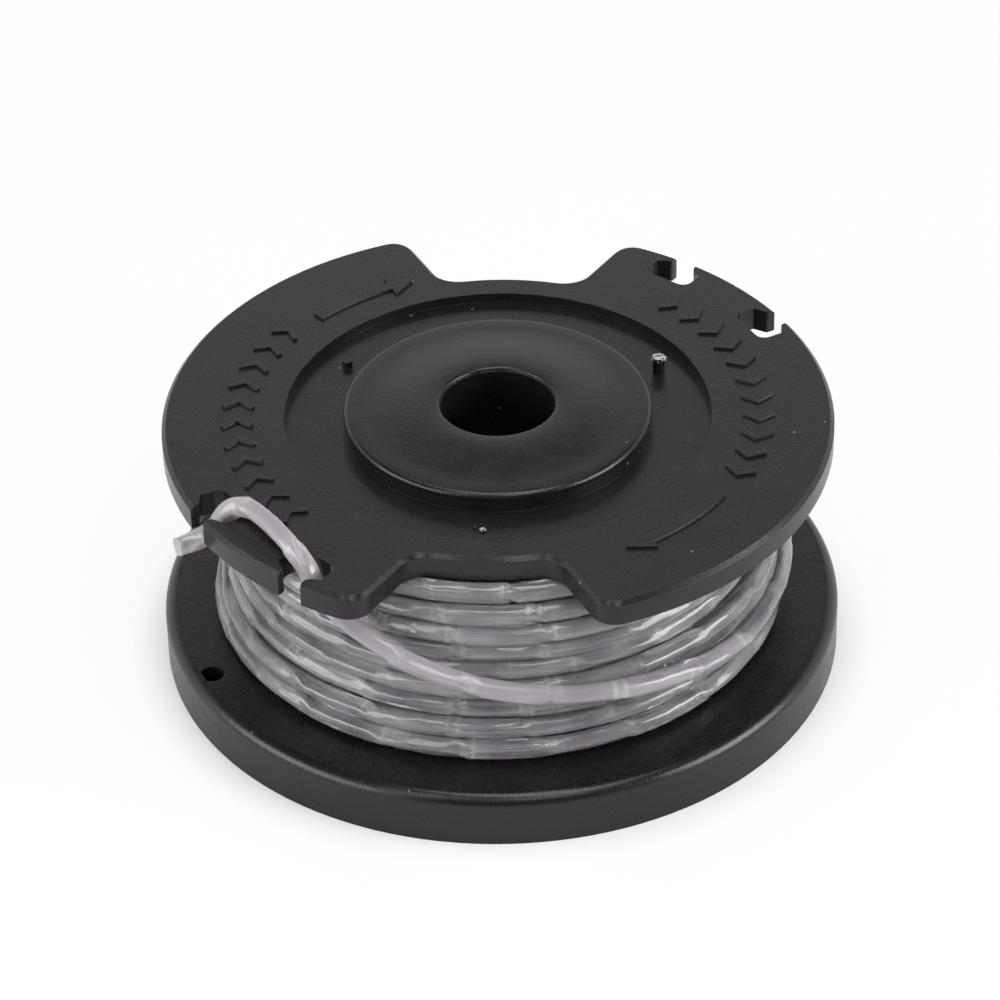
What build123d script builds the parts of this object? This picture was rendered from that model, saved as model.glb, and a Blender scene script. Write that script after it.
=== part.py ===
"""Trimmer line spool: one black moulding with its line wound on, in millimetres.

The origin is at the middle of the foot and +Z runs up the bore.
"""

import math
import os

from build123d import *

# Lower flange: a flat web with a skirt round its edge
lower_flange_radius = 33.4
lower_flange_height = 5.4
lower_web = 2.2
skirt_wall = 1.8
rim_round = 1.2
rim_steps = 3

# Drum that the line is wound on
drum_radius = 20.6
drum_wall = 1.8
winding_gap = 18.3

# Top flange: two wings with a clearance gap between them at each end of Y
top_flange_radius = 32.5
top_flange_thickness = 2.5
edge_break = 0.4
gap_floor_radius = 23.6
gap_half_width = 12.4
gap_side_angle = 30.0
gap_floor_round = 2.8
wing_corner_round = 2.3

# Line notches in each wing: a mouth with a wider pocket behind its lips
notch_angles = (32.6, 56.8)
notch_mouth = 2.6
notch_pocket = 5.1
notch_depth = 4.05
notch_lip = 0.9
notch_lip_slope = 0.8
notch_round = 1.0
lip_round = 0.4

# Recess ring and raised boss on the top face
recess_radius = 20.7
recess_depth = 1.0
plate_thickness = 2.0
boss_radius = 14.9
boss_height = 1.9
boss_edge_break = 0.3
crown_rise = 0.35
crown_top_radius = 7.4
crown_foot_radius = 12.9

# Hub tube round the drive bore
bore_radius = 5.55
bore_break = 0.3
hub_wall = 2.0
hub_foot_gap = 1.2

# Drive lugs that stand inside the drum's lower end
lug_count = 8
lug_width = 3.0
lug_reach = 2.0
lug_height = 7.0

# Broken moulding gates on the recess floor: angle, width and height of each
gate_circle_radius = 17.7
gate_stubs = ((30.0, 1.2, 1.7), (150.0, 1.0, 0.7))
gate_dimple_angle = 268.0
gate_dimple_width = 1.6
gate_dimple_depth = 0.15

# Line holes near the lower rim, and the hole in the drum that holds the line's inner end
line_diameter = 2.03
line_sides = 8
hole_clearance = 0.15
rim_hole_angle = 29.5
rim_hole_inset = 2.1
anchor_angle = 120.0

# Wound line: how far it stands out from the drum at shares of its height from the bottom up
winding_profile = ((0.0, 7.6), (0.1, 7.6), (0.2, 6.0), (0.8, 6.0), (1.0, 4.6))
winding_clearance = 0.1

# Free end of the line: angle, radius and height of each point, from the winding to the cut end
free_end = (
    (341.0, 28.75, 8.9),
    (320.0, 28.75, 10.9),
    (299.0, 28.75, 12.4),
    (278.0, 28.7, 13.7),
    (259.0, 28.6, 16.2),
    (246.0, 28.7, 19.4),
    (239.2, 29.6, 22.8),
    (236.4, 30.1, 27.45),
    (219.5, 28.1, 27.7),
    (214.3, 29.7, 27.0),
    (212.8, 31.3, 23.5),
    (212.7, 34.7, 22.95),
)

# Heights that follow from the sizes above
web_underside = lower_flange_height - lower_web
top_underside = lower_flange_height + winding_gap
top_face = top_underside + top_flange_thickness
recess_floor = top_face - recess_depth
boss_face = recess_floor + boss_height
crown_face = boss_face + crown_rise
plate_underside = recess_floor - plate_thickness
boss_underside = boss_face - plate_thickness

hub_radius = bore_radius + hub_wall
drum_inside = drum_radius - drum_wall
skirt_inside = lower_flange_radius - skirt_wall
line_hole_radius = line_diameter / 2 + hole_clearance


def polar(angle, radius, height=0.0):
    """Point at an angle in degrees round Z."""
    turn = math.radians(angle)
    return (radius * math.cos(turn), radius * math.sin(turn), height)


def tube_radii(points):
    """Largest tangent arc at each inner point of a route: 0.45 of the shorter run."""
    radii = []
    for before, here, after in zip(points, points[1:], points[2:]):
        run_in = Vector(here) - Vector(before)
        run_out = Vector(after) - Vector(here)
        half_turn = math.radians(run_in.get_angle(run_out)) / 2
        radii.append(0.45 * min(run_in.length, run_out.length) / math.tan(half_turn))
    return radii


# One clearance gap of the top flange, about +Y: sloping sides down to a round floor
gap_slope = math.tan(math.radians(gap_side_angle))
gap_mouth = gap_half_width + edge_break * gap_slope
gap_apex = top_flange_radius - gap_half_width / gap_slope
with BuildSketch() as gap_outline:
    with BuildLine():
        Polyline(
            (0, gap_apex),
            (-gap_mouth, top_flange_radius + edge_break),
            (gap_mouth, top_flange_radius + edge_break),
            close=True,
        )
    make_face()
    Circle(gap_floor_radius, mode=Mode.SUBTRACT)

# One line notch, with its mouth towards +X
pocket_end = top_flange_radius - notch_depth
pocket_front = top_flange_radius - notch_lip - notch_lip_slope
with BuildSketch() as notch_outline:
    with BuildLine():
        Polyline(
            (pocket_end, -notch_pocket / 2),
            (pocket_front, -notch_pocket / 2),
            (top_flange_radius - notch_lip, -notch_mouth / 2),
            (top_flange_radius + edge_break, -notch_mouth / 2),
            (top_flange_radius + edge_break, notch_mouth / 2),
            (top_flange_radius - notch_lip, notch_mouth / 2),
            (pocket_front, notch_pocket / 2),
            (pocket_end, notch_pocket / 2),
            close=True,
        )
    make_face()
    fillet(notch_outline.vertices().group_by(Axis.X)[0], notch_round)
    lip_corners = notch_outline.vertices().group_by(Axis.X)[-2]
    fillet(lip_corners, lip_round)

# Plan of the top flange
with BuildSketch() as flange_outline:
    Circle(top_flange_radius)
    for gap_turn in (0, 180):
        add(gap_outline.sketch.rotate(Axis.Z, gap_turn), mode=Mode.SUBTRACT)
    corners = flange_outline.vertices()
    middle_radius = (gap_floor_radius + top_flange_radius) / 2
    floor_corners = corners.filter_by(lambda v: math.hypot(v.X, v.Y) < middle_radius)
    fillet(floor_corners, gap_floor_round)
    corners = flange_outline.vertices()
    rim_corners = corners.filter_by(lambda v: math.hypot(v.X, v.Y) > top_flange_radius - edge_break)
    fillet(rim_corners, wing_corner_round)

with BuildPart() as top_flange:
    add(flange_outline.sketch.moved(Location((0, 0, top_underside))))
    extrude(amount=top_flange_thickness)
    chamfer(top_flange.faces().sort_by(Axis.Z)[-1].edges(), edge_break)
    with BuildSketch(Plane.XY.offset(top_underside)):
        for notch_angle in notch_angles:
            for notch_turn in (notch_angle, notch_angle + 180):
                add(notch_outline.sketch.rotate(Axis.Z, notch_turn))
    extrude(amount=top_flange_thickness, mode=Mode.SUBTRACT)

with BuildPart() as spool_body:
    # Lower flange with its rounded rim, and the drum up to the recess floor
    with BuildSketch(Plane.XZ):
        with BuildLine():
            rim = []
            for step in range(rim_steps + 1):
                turn = math.pi / 2 * step / rim_steps
                rim_out = lower_flange_radius - rim_round * (1 - math.cos(turn))
                rim_up = lower_flange_height - rim_round * (1 - math.sin(turn))
                rim.append((rim_out, rim_up))
            Polyline(
                (0, 0),
                (lower_flange_radius, 0),
                *rim,
                (drum_radius, lower_flange_height),
                (drum_radius, recess_floor),
                (0, recess_floor),
                close=True,
            )
        make_face()
    revolve(axis=Axis.Z)

    # Top flange, with the recess ring sunk into it
    add(top_flange.part)
    with BuildSketch(Plane.XY.offset(top_face)):
        Circle(recess_radius)
    extrude(amount=-recess_depth, mode=Mode.SUBTRACT)

    # Boss with a gentle crown
    with BuildSketch(Plane.XZ):
        with BuildLine():
            Polyline(
                (0, recess_floor),
                (boss_radius, recess_floor),
                (boss_radius, boss_face - boss_edge_break),
                (boss_radius - boss_edge_break, boss_face),
                (crown_foot_radius, boss_face),
                (crown_top_radius, crown_face),
                (0, crown_face),
                close=True,
            )
        make_face()
    revolve(axis=Axis.Z)

    # Hollow under the lower web, hollow drum and the hub tube left standing in it
    with BuildSketch(Plane.XZ):
        with BuildLine():
            Polyline(
                (hub_radius, 0),
                (skirt_inside, 0),
                (skirt_inside, web_underside),
                (drum_inside, web_underside),
                (drum_inside, plate_underside),
                (boss_radius - plate_thickness, plate_underside),
                (boss_radius - plate_thickness, boss_underside),
                (hub_radius, boss_underside),
                close=True,
            )
        make_face()
    revolve(axis=Axis.Z, mode=Mode.SUBTRACT)
    with BuildSketch():
        Circle(hub_radius)
    extrude(amount=hub_foot_gap, mode=Mode.SUBTRACT)
    with Locations((0, 0, crown_face)):
        CounterSinkHole(bore_radius, bore_radius + bore_break, crown_face, 90)

    # Drive lugs inside the drum
    with BuildSketch(Plane.XY.offset(web_underside)):
        with PolarLocations(drum_inside - lug_reach / 2 + drum_wall / 4, lug_count):
            Rectangle(lug_reach + drum_wall / 2, lug_width)
    extrude(amount=lug_height)

    # Line holes by the lower rim, and the anchor hole through the drum wall
    with BuildSketch(Plane.XY.offset(lower_flange_height)):
        with PolarLocations(lower_flange_radius - rim_hole_inset, 2, rim_hole_angle):
            Circle(line_hole_radius)
    extrude(amount=-lower_flange_height, mode=Mode.SUBTRACT)
    anchor_height = top_underside - line_hole_radius - winding_clearance
    anchor_middle = polar(anchor_angle, drum_radius - drum_wall / 2, anchor_height)
    with Locations(Location(anchor_middle, (0, 90, anchor_angle))):
        Cylinder(line_hole_radius, drum_wall * 2, mode=Mode.SUBTRACT)

    # Gate marks on the recess floor
    for stub_angle, stub_width, stub_height in gate_stubs:
        with BuildSketch(Plane(polar(stub_angle, gate_circle_radius, recess_floor))):
            Circle(stub_width / 2)
        extrude(amount=stub_height)
    with BuildSketch(Plane(polar(gate_dimple_angle, gate_circle_radius, recess_floor))):
        Circle(gate_dimple_width / 2)
    extrude(amount=-gate_dimple_depth, mode=Mode.SUBTRACT)

# Winding: one ring with the outer shape of the stacked turns
winding_foot = lower_flange_height + winding_clearance
winding_head = top_underside - winding_clearance
winding_inside = drum_radius + winding_clearance
winding_height = winding_head - winding_foot
with BuildPart() as line_winding:
    with BuildSketch(Plane.XZ):
        with BuildLine():
            outside = []
            for share, reach in winding_profile:
                outside.append((drum_radius + reach, winding_foot + share * winding_height))
            Polyline((winding_inside, winding_foot), *outside, (winding_inside, winding_head), close=True)
        make_face()
    revolve(axis=Axis.Z)

# Free end: leaves the winding, climbs into one notch and hooks out through the next
end_route = [polar(*place) for place in free_end]
end_radii = tube_radii(end_route)
with BuildPart() as line_end:
    with BuildLine() as end_path:
        FilletPolyline(*end_route, radius=end_radii)
    end_plane = Plane(end_route[0], z_dir=Vector(end_route[1]) - Vector(end_route[0]))
    with BuildSketch(end_plane) as end_section:
        RegularPolygon(line_diameter / 2, line_sides)
    sweep()

os.makedirs("parts", exist_ok=True)
spool_body.part.label = "spool_body"
line_winding.part.label = "line_winding"
line_end.part.label = "line_end"
export_step(spool_body.part, "parts/spool_body.step")
export_step(line_winding.part, "parts/line_winding.step")
export_step(line_end.part, "parts/line_end.step")

end_length = end_path.wire().length
end_volume = end_section.sketch.area * end_length
print("bend radii of the free end", [round(radius, 1) for radius in end_radii])
print("free end", round(end_length, 1), "mm long")
print("volume over section x length", round(line_end.part.volume / end_volume, 4))
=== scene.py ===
import math
import random

import bmesh
import bpy
from mathutils import Matrix, Vector, noise


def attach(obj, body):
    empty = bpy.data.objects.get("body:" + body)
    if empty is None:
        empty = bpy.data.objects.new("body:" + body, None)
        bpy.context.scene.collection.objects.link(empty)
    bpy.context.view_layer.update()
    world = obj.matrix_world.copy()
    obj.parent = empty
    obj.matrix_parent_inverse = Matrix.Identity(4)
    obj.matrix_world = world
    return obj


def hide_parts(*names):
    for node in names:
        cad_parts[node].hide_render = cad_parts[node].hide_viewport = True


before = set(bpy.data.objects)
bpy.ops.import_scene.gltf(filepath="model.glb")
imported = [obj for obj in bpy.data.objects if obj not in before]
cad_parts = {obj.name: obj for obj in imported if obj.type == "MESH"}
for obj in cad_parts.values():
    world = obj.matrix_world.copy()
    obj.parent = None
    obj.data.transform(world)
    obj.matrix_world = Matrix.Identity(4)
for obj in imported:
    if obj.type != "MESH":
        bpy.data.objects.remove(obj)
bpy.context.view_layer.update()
mm = 0.001  # every size below is written in millimetres
scene = bpy.context.scene
scene.view_settings.view_transform = "Standard"
print("frame loaded:", sorted(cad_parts))


def linearColour(hexCode):  # sRGB hex to the linear colour that shaders want
    parts = [int(hexCode[i:i + 2], 16) / 255 for i in (1, 3, 5)]
    return tuple(p / 12.92 if p <= 0.04045 else ((p + 0.055) / 1.055) ** 2.4 for p in parts) + (1.0,)


def addNode(tree, kind, inputs=None, **settings):  # one node with its settings, plain values and links
    node = tree.nodes.new(kind)
    for name, value in settings.items():
        setattr(node, name, value)
    for socket, value in (inputs or {}).items():
        if isinstance(value, bpy.types.NodeSocket):
            tree.links.new(value, node.inputs[socket])
        else:
            node.inputs[socket].default_value = value
    return node


def newMaterial(name):
    material = bpy.data.materials.new(name)
    material.use_nodes = True
    material.node_tree.nodes.clear()
    return material, material.node_tree


def polar(angle, radius, height):
    turn = math.radians(angle)
    return Vector((radius * math.cos(turn), radius * math.sin(turn), height)) * mm


def addPiece(name, mesh, material, smooth=True):  # a new object that rides on the spool
    data = bpy.data.meshes.new(name)
    mesh.normal_update()
    mesh.to_mesh(data)
    mesh.free()
    data.polygons.foreach_set("use_smooth", [smooth and len(p.vertices) == 4 for p in data.polygons])
    data.materials.append(material)
    piece = bpy.data.objects.new(name, data)
    scene.collection.objects.link(piece)
    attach(piece, "root")
    print(name, "made:", len(data.polygons), "faces")
    return piece


camera = {
    "place": (23.06, -347.14, 271.12),
    "aim": (-0.05333, 0.80426, -0.59188),  # direction through the middle of the picture
    "roll": -0.021,
    "lens": 158.4,
    "sensor": 36.0,
    "clip": (0.01, 20),  # metres
}


def placeCamera():
    data = bpy.data.cameras.new("camera")
    data.lens = camera["lens"]
    data.sensor_width = camera["sensor"]
    data.clip_start, data.clip_end = camera["clip"]
    ahead = Vector(camera["aim"]).normalized()
    right = ahead.cross(Vector((0, 0, 1))).normalized()
    up = right.cross(ahead)
    c, s = math.cos(camera["roll"]), math.sin(camera["roll"])
    right, up = right * c + up * s, up * c - right * s
    turn = Matrix((right, up, -ahead)).transposed()
    body = bpy.data.objects.new("camera", data)
    body.matrix_world = Matrix.Translation(Vector(camera["place"]) * mm) @ turn.to_4x4()
    scene.collection.objects.link(body)
    scene.camera = body


placeCamera()
print("camera placed")

lights = {
    "backWall": 1.06,  # strength of the white studio walls behind the spool and beside it
    "frontWall": 0.08,  # and in front of it
    "wallTurn": (-0.8, -0.1),  # Y of the direction where the dim wall ends and where the white is full
    "ceiling": 0.09,  # share of the walls' strength that is left overhead
    "wallTop": 32,  # degrees above the floor up to which the walls are white
    "ceilingFrom": 39,  # and from which only the ceiling is left
    "aim": (0, 0, 12),  # every lamp points at the middle of the spool
    "lamps": {  # place and size in mm, power in watts
        "overhead": {"place": (40, 30, 560), "size": (560, 160), "power": 1.7},
        "frontBox": {"place": (100, -290, 400), "size": (150, 110), "power": 0.27},
        "frontStrip": {"place": (-150, -265, 395), "size": (90, 320), "power": 0.34},
        "leftBox": {"place": (-400, -230, 145), "size": (460, 260), "power": 1.75},
        "rightBox": {"place": (440, -110, 150), "size": (300, 250), "power": 1.85},
    },
}


def placeLights():
    world = bpy.data.worlds.new("studio")
    world.use_nodes = True
    scene.world = world
    tree = world.node_tree
    tree.nodes.clear()
    toward = addNode(tree, "ShaderNodeTexCoord").outputs["Generated"]
    parts = addNode(tree, "ShaderNodeSeparateXYZ", {0: toward})
    dim, full = lights["wallTurn"]
    top, ceiling = (math.sin(math.radians(lights[edge])) for edge in ("wallTop", "ceilingFrom"))
    wall = addNode(tree, "ShaderNodeMapRange", {"Value": parts.outputs["Y"], "From Min": dim,
                                                "From Max": full, "To Min": lights["frontWall"],
                                                "To Max": lights["backWall"]},
                   interpolation_type="SMOOTHSTEP")
    fade = addNode(tree, "ShaderNodeMapRange", {"Value": parts.outputs["Z"], "From Min": top,
                                                "From Max": ceiling, "To Min": 1.0,
                                                "To Max": lights["ceiling"]},
                   interpolation_type="SMOOTHSTEP")
    strength = addNode(tree, "ShaderNodeMath", {0: wall.outputs[0], 1: fade.outputs[0]}, operation="MULTIPLY")
    sky = addNode(tree, "ShaderNodeBackground", {"Color": (1, 1, 1, 1), "Strength": strength.outputs[0]})
    addNode(tree, "ShaderNodeOutputWorld", {"Surface": sky.outputs[0]})
    for name, lamp in lights["lamps"].items():
        data = bpy.data.lights.new(name, "AREA")
        data.shape = "RECTANGLE"
        data.size, data.size_y = (side * mm for side in lamp["size"])
        data.energy = lamp["power"]
        body = bpy.data.objects.new(name, data)
        body.location = Vector(lamp["place"]) * mm
        toAim = Vector(lights["aim"]) * mm - body.location
        body.rotation_euler = toAim.to_track_quat("-Z", "Y").to_euler()
        scene.collection.objects.link(body)


placeLights()
print("lights placed")

floor = {
    "reach": 900,
    "colour": "#e2e2e2",
    "ownWhite": 0.88,  # share of plain white that the board shows whatever light falls on it
    "underSpool": (31.0, 37.0),  # radii between which the board's own white begins; fading it out toward the spool paints shade beside the rim, over the board's real shadow
    "mirrored": (33.0, 47.0),  # the same for reflections, in which the faded white paints shade on the board beside the rim, over its real shadow
}


def layFloor():
    material, tree = newMaterial("painted backdrop board, matt")  # white that still takes a shadow, with its own white faded out near the spool as painted shade
    path = addNode(tree, "ShaderNodeLightPath")
    mirrored = addNode(tree, "ShaderNodeMath", {0: path.outputs["Is Glossy Ray"],
                                                1: path.outputs["Is Transmission Ray"]}, operation="MAXIMUM")
    place = addNode(tree, "ShaderNodeTexCoord").outputs["Object"]
    away = addNode(tree, "ShaderNodeVectorMath", {0: place}, operation="LENGTH")
    shares = []
    # painted shade: the board's own white fades out toward the spool, for the camera and for reflections
    for ray, radii in ((path.outputs["Is Camera Ray"], "underSpool"), (mirrored.outputs[0], "mirrored")):
        dark, clear = (radius * mm for radius in floor[radii])
        white = addNode(tree, "ShaderNodeMapRange", {"Value": away.outputs["Value"], "From Min": dark,
                                                     "From Max": clear, "To Max": floor["ownWhite"]})
        shares.append(addNode(tree, "ShaderNodeMath", {0: ray, 1: white.outputs[0]}, operation="MULTIPLY"))
    share = addNode(tree, "ShaderNodeMath", {0: shares[0].outputs[0], 1: shares[1].outputs[0]},
                    operation="MAXIMUM")
    paint = addNode(tree, "ShaderNodeBsdfDiffuse", {"Color": linearColour(floor["colour"])})
    glow = addNode(tree, "ShaderNodeEmission", {"Color": (1, 1, 1, 1), "Strength": 1.0})
    both = addNode(tree, "ShaderNodeMixShader", {0: share.outputs[0], 1: paint.outputs[0],
                                                 2: glow.outputs[0]})
    addNode(tree, "ShaderNodeOutputMaterial", {"Surface": both.outputs[0]})
    reach = floor["reach"] * mm
    mesh = bpy.data.meshes.new("floor")
    mesh.from_pydata([(-reach, -reach, 0), (reach, -reach, 0), (reach, reach, 0), (-reach, reach, 0)], [],
                     [(0, 1, 2, 3)])
    mesh.materials.append(material)
    board = bpy.data.objects.new("floor", mesh)
    scene.collection.objects.link(board)


layFloor()
print("floor laid")

spoolPlastic = {
    "deep": "#101011",
    "pale": "#171719",
    "dust": "#6a6a6c",
    "ior": 1.49,
    "specular": 0.42,
    "roughness": 0.27,
    "roughSpread": (-0.06, 0.08),  # how much smoother and rougher the skin gets in places
    "roughSpan": (0.6, 1.4),  # sums of the two noises at which it does
    "grain": 0.24,  # mm across one grain of the moulded skin, drawn coarse enough to show
    "grainDepth": 0.022,  # mm
    "grainStrength": 0.8,
    "mottle": 3.0,  # mm across a lighter patch
    "dustSpacing": 3.2,  # mm between specks
    "dustFrom": 0.45,  # chance from which a cell holds a speck, the larger the higher the chance
    "dustReach": 0.055,  # radius of the largest speck, in cells
    "dustCover": 0.7,
    "edgeRound": 0.07,  # mm
    "markRound": 0.06,  # the raised marks have crisper edges
    "edgeSamples": 6,
}


def makeSpoolPlastic(name, edgeRound):
    # Black polypropylene, injection moulded: a satin dark grey skin with a fine grain and a few dust specks
    material, tree = newMaterial(name)
    place = addNode(tree, "ShaderNodeTexCoord").outputs["Object"]
    mottle = addNode(tree, "ShaderNodeTexNoise", {"Vector": place, "Scale": 1 / (spoolPlastic["mottle"] * mm),
                                                  "Detail": 4.0, "Roughness": 0.65})
    grain = addNode(tree, "ShaderNodeTexNoise", {"Vector": place, "Scale": 1 / (spoolPlastic["grain"] * mm),
                                                 "Detail": 2.0, "Roughness": 0.7})
    specks = addNode(tree, "ShaderNodeTexVoronoi", {"Vector": place,
                                                    "Scale": 1 / (spoolPlastic["dustSpacing"] * mm)})
    chance = addNode(tree, "ShaderNodeSeparateColor", {0: specks.outputs["Color"]})
    reach = addNode(tree, "ShaderNodeMapRange", {"Value": chance.outputs[0],
                                                 "From Min": spoolPlastic["dustFrom"],
                                                 "To Min": 0.0, "To Max": spoolPlastic["dustReach"]})
    speck = addNode(tree, "ShaderNodeMath", {0: specks.outputs["Distance"], 1: reach.outputs[0]},
                    operation="LESS_THAN")
    speck = addNode(tree, "ShaderNodeMath", {0: speck.outputs[0], 1: spoolPlastic["dustCover"]},
                    operation="MULTIPLY")
    colour = addNode(tree, "ShaderNodeMix", {"Factor": mottle.outputs["Fac"],
                                             "A": linearColour(spoolPlastic["deep"]),
                                             "B": linearColour(spoolPlastic["pale"])}, data_type="RGBA")
    dusty = addNode(tree, "ShaderNodeMix", {"Factor": speck.outputs[0], "A": colour.outputs["Result"],
                                            "B": linearColour(spoolPlastic["dust"])}, data_type="RGBA")
    uneven = addNode(tree, "ShaderNodeMath", {0: grain.outputs["Fac"], 1: mottle.outputs["Fac"]},
                     operation="ADD")
    low, high = spoolPlastic["roughSpan"]
    less, more = (spoolPlastic["roughness"] + spread for spread in spoolPlastic["roughSpread"])
    rough = addNode(tree, "ShaderNodeMapRange", {"Value": uneven.outputs[0], "From Min": low,
                                                 "From Max": high, "To Min": less, "To Max": more})
    rounded = addNode(tree, "ShaderNodeBevel", {"Radius": edgeRound * mm},
                      samples=spoolPlastic["edgeSamples"])
    bump = addNode(tree, "ShaderNodeBump", {"Height": grain.outputs["Fac"],
                                            "Distance": spoolPlastic["grainDepth"] * mm,
                                            "Strength": spoolPlastic["grainStrength"],
                                            "Normal": rounded.outputs[0]})
    skin = addNode(tree, "ShaderNodeBsdfPrincipled", {"Base Color": dusty.outputs["Result"],
                                                      "Roughness": rough.outputs[0],
                                                      "IOR": spoolPlastic["ior"],
                                                      "Specular IOR Level": spoolPlastic["specular"],
                                                      "Normal": bump.outputs[0]})
    addNode(tree, "ShaderNodeOutputMaterial", {"Surface": skin.outputs[0]})
    return material


blackPlastic = makeSpoolPlastic("black polypropylene, moulded satin", spoolPlastic["edgeRound"])
markPlastic = makeSpoolPlastic("black polypropylene, engraved mould", spoolPlastic["markRound"])
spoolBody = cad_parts["spool_body"]
spoolBody.data.materials.clear()
spoolBody.data.materials.append(blackPlastic)
print("spool body dressed")

boss = {
    "edge": (14.94, 27.15, 0.5),  # radius, height and rounding of the outer edge
    "crownFoot": 13.3,
    "crownTop": 6.9,
    "crownRise": 0.35,
    "mouth": (5.6, 0.3),  # radius of the bore's mouth and its rounding
    "inside": 26.5,  # height down to which the cap sits in the boss
    "segments": 160,
    "steps": (6, 16, 8),  # points round the mouth, down the crown and round the outer edge
}


def arc(middle, radius, start, end, steps):  # points of a rounding in the plane of radius and height
    turns = [math.radians(start + (end - start) * i / steps) for i in range(steps + 1)]
    return [(middle[0] + radius * math.cos(t), middle[1] + radius * math.sin(t)) for t in turns]


def addTurned(mesh, profile, segments):  # a closed profile of radius and height, turned round the bore
    rings = []
    for k in range(segments):
        rings.append([mesh.verts.new(polar(360 * k / segments, r, z)) for r, z in profile])
    for k, ring in enumerate(rings):
        following = rings[(k + 1) % len(rings)]
        for i in range(len(profile)):
            n = (i + 1) % len(profile)
            mesh.faces.new((ring[i], ring[n], following[n], following[i]))
    bmesh.ops.recalc_face_normals(mesh, faces=mesh.faces)


def makeBossCap():  # the boss's face with its soft crown and rounded edges
    edgeRadius, faceHeight, edgeRound = boss["edge"]
    mouthRadius, mouthRound = boss["mouth"]
    mouthSteps, crownSteps, edgeSteps = boss["steps"]
    top = faceHeight + boss["crownRise"]
    profile = arc((mouthRadius + mouthRound, top - mouthRound), mouthRound, 180, 90, mouthSteps)
    for i in range(crownSteps + 1):
        share = i / crownSteps
        rise = boss["crownRise"] * (1 - share * share * (3 - 2 * share))
        profile.append((boss["crownTop"] + (boss["crownFoot"] - boss["crownTop"]) * share, faceHeight + rise))
    profile += arc((edgeRadius - edgeRound, faceHeight - edgeRound), edgeRound, 90, 0, edgeSteps)
    profile += [(edgeRadius, boss["inside"]), (mouthRadius + 2 * mouthRound, boss["inside"])]
    mesh = bmesh.new()
    addTurned(mesh, profile, boss["segments"])
    addPiece("bossCap", mesh, blackPlastic)


makeBossCap()

rim = {
    "radius": 33.41,  # a hair outside the flange, so that the skin covers its edge
    "height": 5.41,
    "round": 1.2,
    "depth": 0.5,  # how far the skin's inner side lies in the flange
    "segments": 200,
    "steps": (14, 6),  # points round its outer and its inner side
}


def makeRimRound():  # the smooth round of the lower flange's upper edge
    middle = (rim["radius"] - rim["round"], rim["height"] - rim["round"])
    outerSteps, innerSteps = rim["steps"]
    profile = arc(middle, rim["round"], 90, 0, outerSteps)
    profile += arc(middle, rim["round"] - rim["depth"], 0, 90, innerSteps)
    mesh = bmesh.new()
    addTurned(mesh, profile, rim["segments"])
    addPiece("rimRound", mesh, blackPlastic)


makeRimRound()

wingMarks = {
    "face": 26.2,  # height of the wings' top face
    "rise": 0.24,
    "sunk": 0.25,
    "slope": 0.10,  # how much wider a stroke is at its foot, each side
    "stroke": 0.42,
    "band": (23.75, 26.65),  # inner and outer radius of the row of chevrons
    "chevrons": 11,
    "lead": 2.4,  # degrees by which a chevron's point runs ahead
    "shaft": 1.15,
    "head": 3.1,
    "headLength": 5.6,  # degrees
    "shoulder": 0.1,  # degrees in which the shaft widens to the head
    "point": 0.15,  # width that is left at the arrow's tip
    "arrowSteps": 14,
    "sharpest": 0.3,  # limits how far a stroke is drawn out at a corner
    "wings": (  # first and last angle of the row, the arrow's tail, its point and its radius
        {"row": (49.5, -21.5), "arrow": (-30.5, -58.6), "radius": 25.2},
        {"row": (223.5, 149.5), "arrow": (140.0, 113.8), "radius": 24.55},
    ),
}


def addRidge(mesh, stations):  # a raised bar through stations of place and width, with sloping sides
    up = Vector((0, 0, 1))
    rows = []
    last = len(stations) - 1
    for i, (here, width) in enumerate(stations):
        into = (here - stations[max(i - 1, 0)][0]).normalized()
        out = (stations[min(i + 1, last)][0] - here).normalized()
        side = up.cross(into + out).normalized()
        lean = side.dot(up.cross(into if i else out))
        stretch = 1 / max(wingMarks["sharpest"], lean)  # keeps the width round a corner
        top = width / 2 * mm * stretch
        foot = top + wingMarks["slope"] * mm
        levels = ((foot, -wingMarks["sunk"]), (top, wingMarks["rise"]), (-top, wingMarks["rise"]),
                  (-foot, -wingMarks["sunk"]))
        rows.append([mesh.verts.new(here + side * reach + up * level * mm) for reach, level in levels])
    for low, high in zip(rows, rows[1:]):
        for k in range(4):
            n = (k + 1) % 4
            mesh.faces.new((low[k], low[n], high[n], high[k]))
    mesh.faces.new(rows[0])
    mesh.faces.new(rows[-1])


def makeWingMarks():  # raised marks that show which way the line is wound
    mesh = bmesh.new()
    face = wingMarks["face"]
    inner, outer = wingMarks["band"]
    middle = (inner + outer) / 2
    steps = wingMarks["arrowSteps"]
    for wing in wingMarks["wings"]:
        first, last = wing["row"]
        for i in range(wingMarks["chevrons"]):
            angle = first + (last - first) * i / (wingMarks["chevrons"] - 1)
            tail = angle + wingMarks["lead"] / 2
            nose = angle - wingMarks["lead"] / 2
            corners = (polar(tail, outer, face), polar(nose, middle, face), polar(tail, inner, face))
            addRidge(mesh, [(corner, wingMarks["stroke"]) for corner in corners])
        tail, tip = wing["arrow"]
        neck = tip + wingMarks["headLength"]
        arrow = []
        for i in range(steps + 1):
            angle = tail + (neck - tail) * i / steps
            arrow.append((polar(angle, wing["radius"], face), wingMarks["shaft"]))
        arrow.append((polar(neck - wingMarks["shoulder"], wing["radius"], face), wingMarks["head"]))
        arrow.append((polar(tip, wing["radius"], face), wingMarks["point"]))
        addRidge(mesh, arrow)
    bmesh.ops.recalc_face_normals(mesh, faces=mesh.faces)
    addPiece("wingMarks", mesh, markPlastic, smooth=False)


makeWingMarks()

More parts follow.
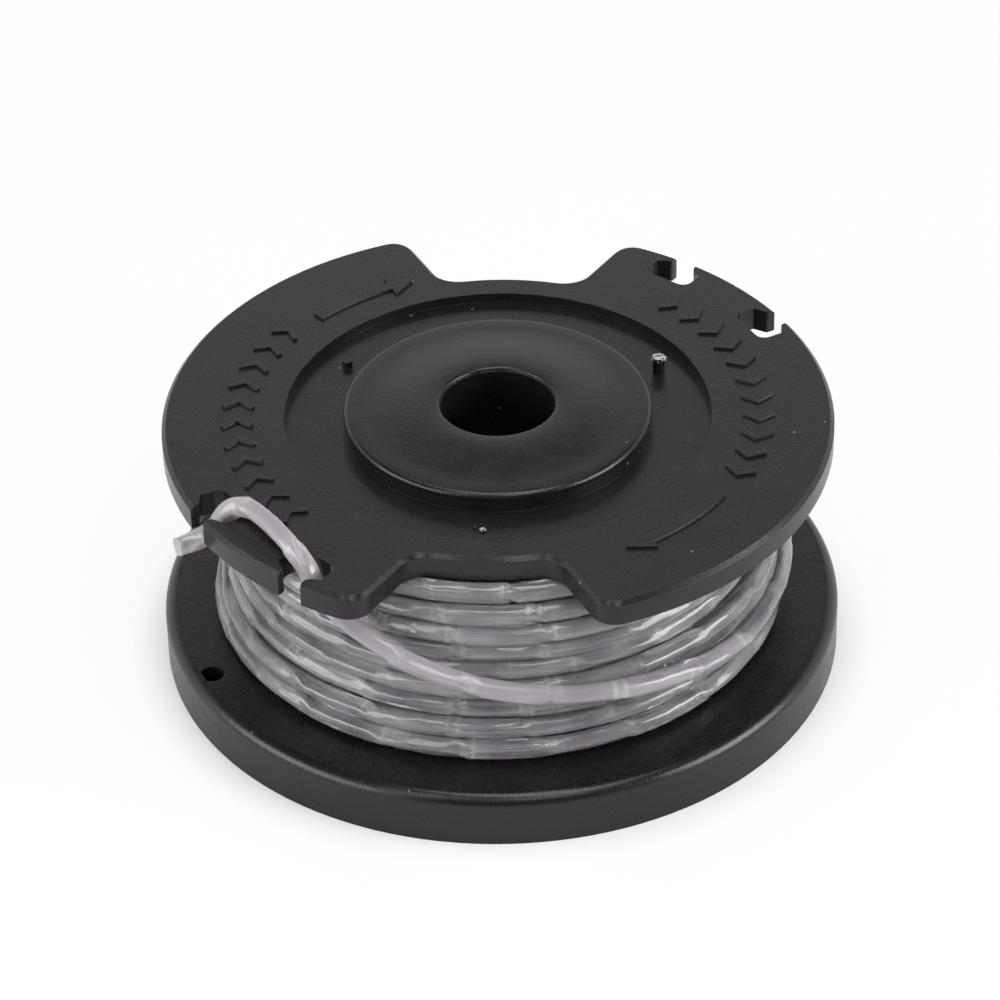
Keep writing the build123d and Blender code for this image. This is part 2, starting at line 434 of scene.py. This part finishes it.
gates = {
    "circle": 17.7,
    "floor": 25.2,  # height of the recess floor
    "crumbAngle": 30.0,
    "crumbSize": (0.66, 0.60, 0.38),
    "crumbMiddle": 26.72,
    "crumbSeed": 3.0,
    "dotAngle": 268.6,
    "dotSize": (0.30, 0.26, 0.16),
    "dotSeed": 8.0,
    "lumps": (2.2, 0.35),  # how often the surface goes in and out, and how far
    "bits": (5, 0.2),  # the same for the fine raggedness
    "whitened": "#a8a8a9",
    "dark": "#1b1b1c",
    "whiteGrain": 0.22,  # mm across a whitened spot
    "whiteSpan": (0.42, 0.56),  # noise at which the white begins and is full
    "ior": 1.49,
    "roughness": 0.6,
}


def makeTornPlastic():
    # Polypropylene torn off at the gate: crumbly, whitened where it stretched before it broke
    material, tree = newMaterial("black polypropylene, torn and whitened")
    place = addNode(tree, "ShaderNodeTexCoord").outputs["Object"]
    crumbs = addNode(tree, "ShaderNodeTexNoise", {"Vector": place, "Scale": 1 / (gates["whiteGrain"] * mm),
                                                  "Detail": 2.0})
    begins, full = gates["whiteSpan"]
    share = addNode(tree, "ShaderNodeMapRange", {"Value": crumbs.outputs["Fac"], "From Min": begins,
                                                 "From Max": full})
    colour = addNode(tree, "ShaderNodeMix", {"Factor": share.outputs[0], "A": linearColour(gates["dark"]),
                                             "B": linearColour(gates["whitened"])}, data_type="RGBA")
    torn = addNode(tree, "ShaderNodeBsdfPrincipled", {"Base Color": colour.outputs["Result"],
                                                      "Roughness": gates["roughness"], "IOR": gates["ior"]})
    addNode(tree, "ShaderNodeOutputMaterial", {"Surface": torn.outputs[0]})
    return material


def addCrumb(mesh, middle, size, seed):  # one torn lump with a ragged surface
    lump = bmesh.ops.create_icosphere(mesh, subdivisions=4, radius=1.0)["verts"]
    (lumpRate, lumpDepth), (bitRate, bitDepth) = gates["lumps"], gates["bits"]
    for vert in lump:
        coarse = noise.noise(vert.co * lumpRate + Vector((seed, 0, 0)))
        fine = noise.noise(vert.co * bitRate + Vector((0, seed, 0)))
        ragged = 1 + lumpDepth * coarse + bitDepth * fine
        vert.co = middle + Vector([c * s * ragged * mm for c, s in zip(vert.co, size)])


def makeGateMarks():  # the lump beside the boss and the dot in the recess
    mesh = bmesh.new()
    crumb = polar(gates["crumbAngle"], gates["circle"], gates["crumbMiddle"])
    dot = polar(gates["dotAngle"], gates["circle"], gates["floor"])
    addCrumb(mesh, crumb, gates["crumbSize"], gates["crumbSeed"])
    addCrumb(mesh, dot, gates["dotSize"], gates["dotSeed"])
    piece = addPiece("gateMarks", mesh, makeTornPlastic())
    piece.data.polygons.foreach_set("use_smooth", [True] * len(piece.data.polygons))  # triangles too


makeGateMarks()

line = {
    "clear": "#9a959d",
    "cloudy": "#dcd8dd",
    # whitened nylon of the press marks, and also the colour of the painted highlight line at their ends
    "pressed": "#f2f1f3",
    "bent": "#bbb5bb",
    "ior": 1.53,
    "roughness": 0.12,
    "pressedRough": 0.25,  # added where it is pressed
    "passing": (0.72, 0.45),  # share of the light that goes through, clear and where it is bent
    "milky": 0.05,  # share that spreads under the skin
    "milkyTint": (1.0, 0.97, 1.03),
    "milkyDepth": 0.8,  # mm
    "cloud": 4.0,  # mm across a cloudy patch
    "cloudSpan": (0.72, 1.28),  # sums of streaks and clouds at which it is clear and cloudy
    "streak": 0.3,  # mm between the drawing streaks that run along the line
    "streakLength": 0.05,  # a twentieth of the way along counts, so a streak is twenty times as long as wide
    "streakDepth": 0.014,  # mm
    "streakStrength": 0.5,
    "crush": 0.5,  # mm across the white spots of a press mark
    "crushSpan": (0.52, 0.75),  # noise at which a spot begins and is full
    "crushWhite": (0.1, 0.6),  # share of white there
    "endSpan": (0.05, 0.35),  # how far from half strength the painted highlight line at a mark's ends is full and gone
    "endHighlight": 0.6,
    "endClouds": (0.42, 0.6),  # clouds at which that line is faint and full
    "endShare": (0.2, 1.0),
    "diameter": 2.03,
    "length": 3353,  # 11 ft, what such a spool is remembered to hold; the coil below is drawn near it
    "squareness": 3.2,  # power of the rounded square section, 2 is round
    "sides": 28,
    "pointsPerTurn": 16,
    "samples": 40,  # points read from the spline for each control point
    "innerStep": 20,  # of which every twentieth is used under the outer layer
    "outerStep": 4,  # and every fourth on it, away from the press marks
    "facetLength": 7.8,  # mm between two press marks of the twist
    "markHalf": 0.62,  # half the length of a press mark
    "markMargin": 0.3,  # mm beside a press mark in which the points stay close together
    "markEdge": 0.07,  # mm in which a mark begins and ends
    "markSwell": (0.035, 0.04),  # how far it is pressed out, and how unevenly
    "facetSpread": (0.85, 1.15),
    "facetTurn": (28, 62),  # degrees of twist from one facet to the next
    "turnEase": 0.4,  # mm over which the twist goes on to the next facet
    "slowTwist": 0.02,  # radians for each mm in between
    "seed": 7,
    "flats": 0.87,  # width across the flats as a share of the diameter, which the corners reach
    "anchorAngle": 120.0,
    "anchorHeight": 22.43,
    "anchorRoute": ((0, 19.4), (0, 21.2), (-9, 22.0)),  # degrees on from the hole, and radius
    "whitened": (82.0, 30.0),  # mm before the cut end between which the bent line turns cloudy
    "firstTurn": 1,  # a whole turn, so that the winding starts at the anchor hole
    "outerFrom": 15.0,  # turns at which the visible layer starts
    "lastTurn": 24.32,
    "stations": (  # turns, counted from one at the anchor hole, then height and radius of the strand's middle
        (1.06, 22.43, 21.67), (7.93, 6.45, 21.67),  # first layer, down the drum
        (8.30, 6.45, 23.5), (8.583, 6.5, 23.5), (9.583, 7.5, 23.5), (14.583, 17.5, 23.5),  # second, up
        (14.90, 18.2, 23.5), (15.30, 22.4, 23.7),  # climb to the top at the back
        (15.583, 22.55, 24.0), (16.583, 20.55, 24.7), (17.583, 18.55, 25.3),  # outer layer, down
        (18.583, 16.5, 25.2), (19.583, 14.5, 25.2), (20.583, 12.5, 25.6), (21.583, 10.45, 25.9),
        (22.583, 8.4, 26.6), (23.583, 6.6, 27.3), (23.95, 6.55, 27.5),
        (24.08, 7.6, 28.6), (24.20, 9.3, 28.4), (24.30, 10.4, 28.1),  # the last strand starts to rise
    ),
    "outer": {  # how the visible layer departs from an even winding
        "heightWave": (0.13, 2.3, 1.9),  # mm, waves in a turn and radians on from one turn to the next
        "radiusWave": (0.14, 1.7, 2.7),
        "climbAngle": 95,  # where it crosses the strand that climbs
        "climbTill": 18.3,  # turns up to which it does
        "climbRadius": 25.9,
        "riseAngle": 350,  # where the last strand rises over it
        "riseNarrow": 6,  # the higher, the shorter the stretch that is pushed out there
        "riseTurns": (20, 21, 22),  # the two turns under that strand
        "rise": (1.1, 0.6),  # mm by which the first and the second of them are pushed out
    },
    "freeEnd": (  # angle, radius, height: as in the solids, but higher at the right and closer on the flange
        (341.0, 28.5, 10.2), (320.0, 28.75, 10.9), (299.0, 28.75, 12.4), (278.0, 28.7, 13.7),
        (259.0, 28.6, 16.2), (246.0, 28.7, 19.4), (239.2, 29.6, 22.8), (236.4, 30.1, 27.2),
        (219.5, 28.25, 27.5), (214.5, 29.5, 26.8), (212.8, 31.1, 23.2), (212.7, 34.7, 23.25),
    ),
}


def makeLineNylon():
    # Nylon monofilament, extruded and pressed: clear grey, with long thin glints that break off at each mark
    material, tree = newMaterial("nylon monofilament, extruded and pressed")
    place = addNode(tree, "ShaderNodeTexCoord").outputs["Object"]
    along = addNode(tree, "ShaderNodeAttribute", attribute_name="drawn").outputs["Vector"]
    mark = addNode(tree, "ShaderNodeAttribute", attribute_name="pressMark").outputs["Fac"]
    bent = addNode(tree, "ShaderNodeAttribute", attribute_name="whitened").outputs["Fac"]
    streak = addNode(tree, "ShaderNodeTexNoise", {"Vector": along, "Scale": 1 / line["streak"], "Detail": 3.0,
                                                  "Roughness": 0.6})
    cloud = addNode(tree, "ShaderNodeTexNoise", {"Vector": place, "Scale": 1 / (line["cloud"] * mm),
                                                 "Detail": 3.0})
    mixed = addNode(tree, "ShaderNodeMath", {0: streak.outputs["Fac"], 1: cloud.outputs["Fac"]},
                    operation="ADD")
    low, high = line["cloudSpan"]
    shade = addNode(tree, "ShaderNodeMapRange", {"Value": mixed.outputs[0], "From Min": low,
                                                 "From Max": high})
    colour = addNode(tree, "ShaderNodeMix", {"Factor": shade.outputs[0], "A": linearColour(line["clear"]),
                                             "B": linearColour(line["cloudy"])}, data_type="RGBA")
    crush = addNode(tree, "ShaderNodeTexNoise", {"Vector": place, "Scale": 1 / (line["crush"] * mm),
                                                 "Detail": 3.0})
    (low, high), (least, most) = line["crushSpan"], line["crushWhite"]
    crushed = addNode(tree, "ShaderNodeMapRange", {"Value": crush.outputs["Fac"], "From Min": low,
                                                   "From Max": high, "To Min": least, "To Max": most})
    pressed = addNode(tree, "ShaderNodeMath", {0: mark, 1: crushed.outputs[0]}, operation="MULTIPLY")
    edge = addNode(tree, "ShaderNodeMath", {0: mark, 1: -0.5}, operation="ADD")
    edge = addNode(tree, "ShaderNodeMath", {0: edge.outputs[0]}, operation="ABSOLUTE")
    low, high = line["endSpan"]
    edge = addNode(tree, "ShaderNodeMapRange", {"Value": edge.outputs[0], "From Min": low, "From Max": high,
                                                "To Min": line["endHighlight"],
                                                "To Max": 0.0})  # a painted highlight line at each end of a mark
    (low, high), (least, most) = line["endClouds"], line["endShare"]
    some = addNode(tree, "ShaderNodeMapRange", {"Value": cloud.outputs["Fac"], "From Min": low,
                                                "From Max": high, "To Min": least,
                                                "To Max": most})  # fainter on some marks
    edge = addNode(tree, "ShaderNodeMath", {0: edge.outputs[0], 1: some.outputs[0]}, operation="MULTIPLY")
    # crushed white of the marks together with the painted highlight at their ends
    crushAndHighlight = addNode(tree, "ShaderNodeMath", {0: pressed.outputs[0], 1: edge.outputs[0]}, operation="MAXIMUM")
    hazy = addNode(tree, "ShaderNodeMix", {"Factor": bent, "A": colour.outputs["Result"],
                                           "B": linearColour(line["bent"])}, data_type="RGBA")
    crushedAndHighlitColour = addNode(tree, "ShaderNodeMix", {"Factor": crushAndHighlight.outputs[0], "A": hazy.outputs["Result"],
                                           "B": linearColour(line["pressed"])}, data_type="RGBA")
    clear, whitened = line["passing"]
    passing = addNode(tree, "ShaderNodeMapRange", {"Value": bent, "To Min": clear, "To Max": whitened})
    rough = addNode(tree, "ShaderNodeMapRange", {"Value": pressed.outputs[0], "To Min": line["roughness"],
                                                 "To Max": line["roughness"] + line["pressedRough"]})
    bump = addNode(tree, "ShaderNodeBump", {"Height": streak.outputs["Fac"],
                                            "Distance": line["streakDepth"] * mm,
                                            "Strength": line["streakStrength"]})
    nylon = addNode(tree, "ShaderNodeBsdfPrincipled", {"Base Color": crushedAndHighlitColour.outputs["Result"],
                                                       "Roughness": rough.outputs[0], "IOR": line["ior"],
                                                       "Normal": bump.outputs[0],
                                                       "Transmission Weight": passing.outputs[0],
                                                       "Subsurface Weight": line["milky"],
                                                       "Subsurface Radius": line["milkyTint"],
                                                       "Subsurface Scale": line["milkyDepth"] * mm})
    addNode(tree, "ShaderNodeOutputMaterial", {"Surface": nylon.outputs[0]})
    return material


def stationAt(turns):  # height and radius of the strand after so many turns
    stations = line["stations"]
    for (t0, z0, r0), (t1, z1, r1) in zip(stations, stations[1:]):
        if turns <= t1:
            share = (turns - t0) / (t1 - t0)
            return z0 + (z1 - z0) * share, r0 + (r1 - r0) * share
    return stations[-1][1:]


def coilPoints():  # control points of the winding, pushed out because the spline runs inside them
    perTurn = line["pointsPerTurn"]
    inside = (6 + 2 * math.cos(2 * math.pi / perTurn)) / 8  # share of the radius that the spline keeps
    angle, height = line["anchorAngle"], line["anchorHeight"]
    points = [polar(angle + onward, radius, height) for onward, radius in line["anchorRoute"]]
    outer = line["outer"]
    high, highWaves, highShift = outer["heightWave"]
    wide, wideWaves, wideShift = outer["radiusWave"]
    riseFrom, riseMiddle, riseTill = outer["riseTurns"]
    firstRise, secondRise = outer["rise"]
    step = line["firstTurn"] * perTurn + 2
    while step / perTurn < line["lastTurn"]:
        turns = step / perTurn
        z, r = stationAt(turns)
        here = angle - 360 * turns
        if turns > line["outerFrom"]:  # the outer layer is wound less evenly
            layer = math.floor(turns)
            fade = min(1, turns - line["outerFrom"])
            z += fade * high * math.sin(math.radians(here) * highWaves + layer * highShift)
            r += fade * wide * math.sin(math.radians(here) * wideWaves + layer * wideShift)
            back = max(0, math.cos(math.radians(here - outer["climbAngle"])))
            if turns < outer["climbTill"]:
                r += back * max(0, outer["climbRadius"] - r)
            bulge = max(0, math.cos(math.radians(here - outer["riseAngle"]))) ** outer["riseNarrow"]
            if riseFrom < turns < riseTill:
                r += bulge * (firstRise if turns < riseMiddle else secondRise)
        points.append(polar(here, r / inside, z))
        step += 1
    return points


def readSpline(points):  # the smooth line that a NURBS spline draws through the route
    curve = bpy.data.curves.new("route", "CURVE")
    curve.dimensions = "3D"
    spline = curve.splines.new("NURBS")
    spline.points.add(len(points) - 1)
    for knot, point in zip(spline.points, points):
        knot.co = (*point, 1)
    spline.order_u = 3
    spline.use_endpoint_u = True
    spline.resolution_u = line["samples"]
    curve.resolution_u = line["samples"]
    holder = bpy.data.objects.new("route", curve)
    mesh = bpy.data.meshes.new_from_object(holder)
    path = [vertex.co.copy() for vertex in mesh.vertices]
    bpy.data.objects.remove(holder)
    bpy.data.curves.remove(curve)
    bpy.data.meshes.remove(mesh)
    return path


def measure(path):  # mm travelled along a path at each of its points
    travel = [0.0]
    for before, here in zip(path, path[1:]):
        travel.append(travel[-1] + (here - before).length / mm)
    return travel


def thinPath(path, route, marks):  # keeps the spline's points close together only at the press marks
    hiddenTurns = line["outerFrom"] - line["firstTurn"]
    outerStart = int(len(path) * hiddenTurns * line["pointsPerTurn"] / len(route))
    travel = measure(path)
    kept = []
    mark = 0
    for i, here in enumerate(path):
        while mark + 1 < len(marks) and abs(marks[mark + 1] - travel[i]) < abs(marks[mark] - travel[i]):
            mark += 1
        near = abs(marks[mark] - travel[i]) < line["markHalf"] + line["markMargin"]
        step = line["innerStep"] if i < outerStart else 1 if near else line["outerStep"]
        if i % step == 0 or i == len(path) - 1:
            kept.append(here)
    return kept


def makeLine(material):
    route = coilPoints() + [polar(*place) for place in line["freeEnd"]]
    path = readSpline(route)
    rng = random.Random(line["seed"])
    length = measure(path)[-1]
    marks, turnAngles = [0.0], [0.0]
    while marks[-1] < length:
        marks.append(marks[-1] + line["facetLength"] * rng.uniform(*line["facetSpread"]))
        turnAngles.append(turnAngles[-1] + math.radians(rng.uniform(*line["facetTurn"])))
    path = thinPath(path, route, marks)
    travel = measure(path)
    sides = line["sides"]
    power = line["squareness"]
    swell, uneven = line["markSwell"]
    half = line["diameter"] / 2 * line["flats"]
    mesh = bmesh.new()
    press = mesh.verts.layers.float.new("pressMark")
    bent = mesh.verts.layers.float.new("whitened")
    drawn = mesh.verts.layers.float_vector.new("drawn")
    rings = []
    facet = 0
    clearTill, cloudyFrom = (travel[-1] - place for place in line["whitened"])
    ahead = (path[1] - path[0]).normalized()
    out = ahead.orthogonal().normalized()
    for i, here in enumerate(path):
        nextAhead = (path[min(i + 1, len(path) - 1)] - path[max(i - 1, 0)]).normalized()
        out.rotate(ahead.rotation_difference(nextAhead))  # carry the section along without extra twist
        ahead = nextAhead
        out = (out - ahead * out.dot(ahead)).normalized()
        side = ahead.cross(out)
        while facet + 1 < len(marks) - 1 and travel[i] > (marks[facet] + marks[facet + 1]) / 2:
            facet += 1
        gap = travel[i] - marks[facet]
        blend = 0.5 + 0.5 * math.tanh(gap / line["turnEase"])
        before = turnAngles[max(facet - 1, 0)]
        turn = before + (turnAngles[facet] - before) * blend + line["slowTwist"] * gap
        beyond = (abs(gap) - line["markHalf"]) / line["markEdge"]
        node = 1 / (1 + math.exp(beyond))  # flat over the mark, steep at its ends
        cloudy = min(1, max(0, (travel[i] - clearTill) / (cloudyFrom - clearTill)))
        ring = []
        for k in range(sides):
            angle = 2 * math.pi * k / sides
            c, s = abs(math.cos(angle)), abs(math.sin(angle))
            reach = half / (c ** power + s ** power) ** (1 / power)
            reach *= 1 + node * (swell + uneven * rng.uniform(-1, 1))
            spot = here + (out * math.cos(angle + turn) + side * math.sin(angle + turn)) * reach * mm
            vert = mesh.verts.new(spot)
            vert[press] = node
            vert[bent] = cloudy
            vert[drawn] = (half * math.cos(angle), half * math.sin(angle), travel[i] * line["streakLength"])
            ring.append(vert)
        rings.append(ring)
    for low, high in zip(rings, rings[1:]):
        for k in range(sides):
            n = (k + 1) % sides
            mesh.faces.new((low[k], low[n], high[n], high[k]))
    mesh.faces.new(list(reversed(rings[0])))
    mesh.faces.new(rings[-1])
    piece = addPiece("trimmerLine", mesh, material)
    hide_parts("line_winding")
    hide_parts("line_end")
    print("line wound:", round(travel[-1]), "mm")


makeLine(makeLineNylon())
